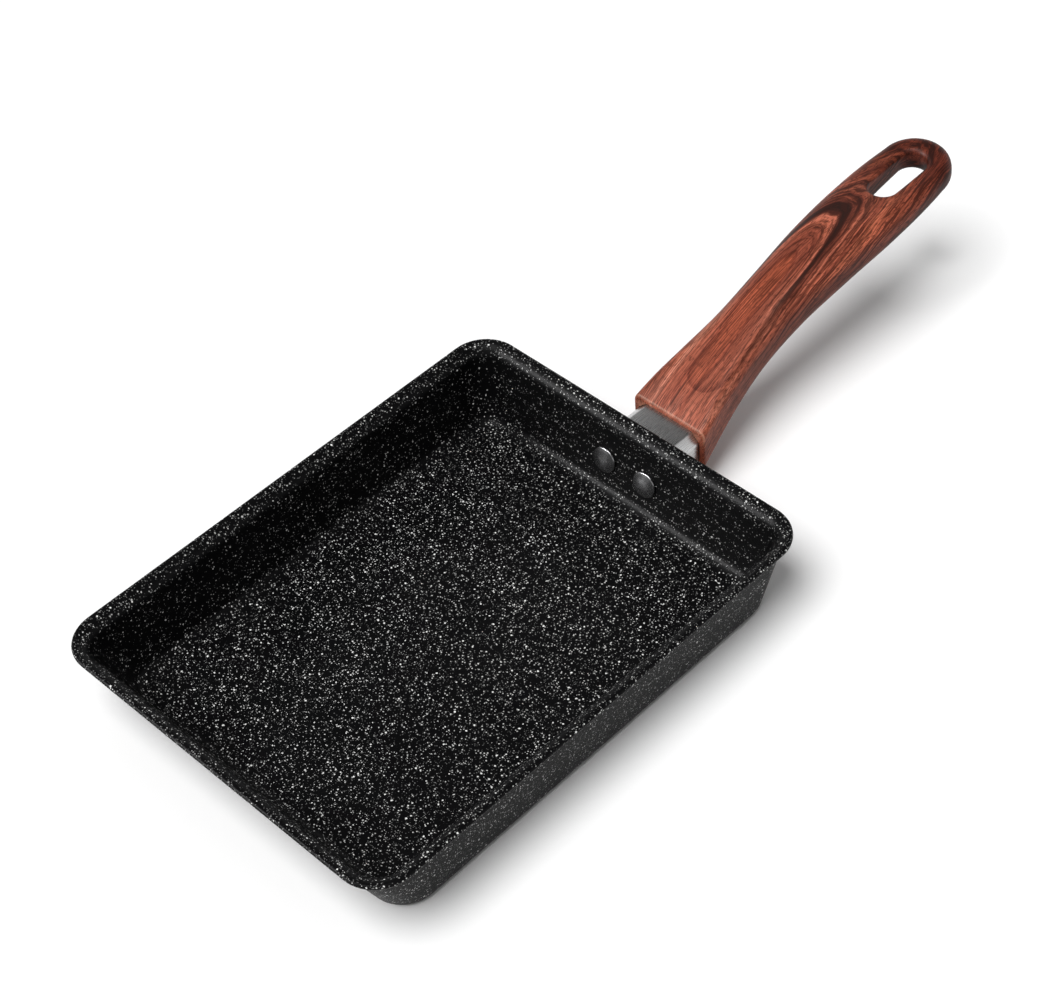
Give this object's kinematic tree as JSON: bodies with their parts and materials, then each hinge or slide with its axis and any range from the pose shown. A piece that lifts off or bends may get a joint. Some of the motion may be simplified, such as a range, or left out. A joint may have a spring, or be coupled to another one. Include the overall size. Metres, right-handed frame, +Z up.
{
  "type": "rectangular rolled-omelette pan",
  "caption": "Shallow rectangular frying pan with a flared lip and a sloping front wall, a riveted bracket with a sheet cover, and a rising moulded handle with a hanging slot.",
  "frame": {"origin": "on the surface that the pan stands on, below the middle of the rectangular mouth", "axes": "+X along the handle, away from the pan; +Y across the pan; +Z up"},
  "size_m": [0.3292, 0.1386, 0.0532],
  "materials": {
    "pan_coating": "satin dark grey non-stick coating with fine light specks, over pressed aluminium",
    "base_steel": "brushed perforated stainless steel",
    "rivet_metal": "satin",
    "bracket_steel": "stamped, zinc plated",
    "guard_steel": "brushed lengthwise",
    "grip_resin": "semi-gloss moulded phenolic resin with a reddish-brown wood-grain print",
    "fastener_steel": "zinc plated"
  },
  "bodies": {
    "root": {"pan_body": "pan_coating", "base_plate": "base_steel", "rivet_left": "rivet_metal", "rivet_right": "rivet_metal", "handle_bracket": "bracket_steel", "flame_guard": "guard_steel", "handle_grip": "grip_resin", "handle_screw": "fastener_steel", "screw_washer": "fastener_steel", "weld_nut": "fastener_steel"}
  },
  "joints": []
}
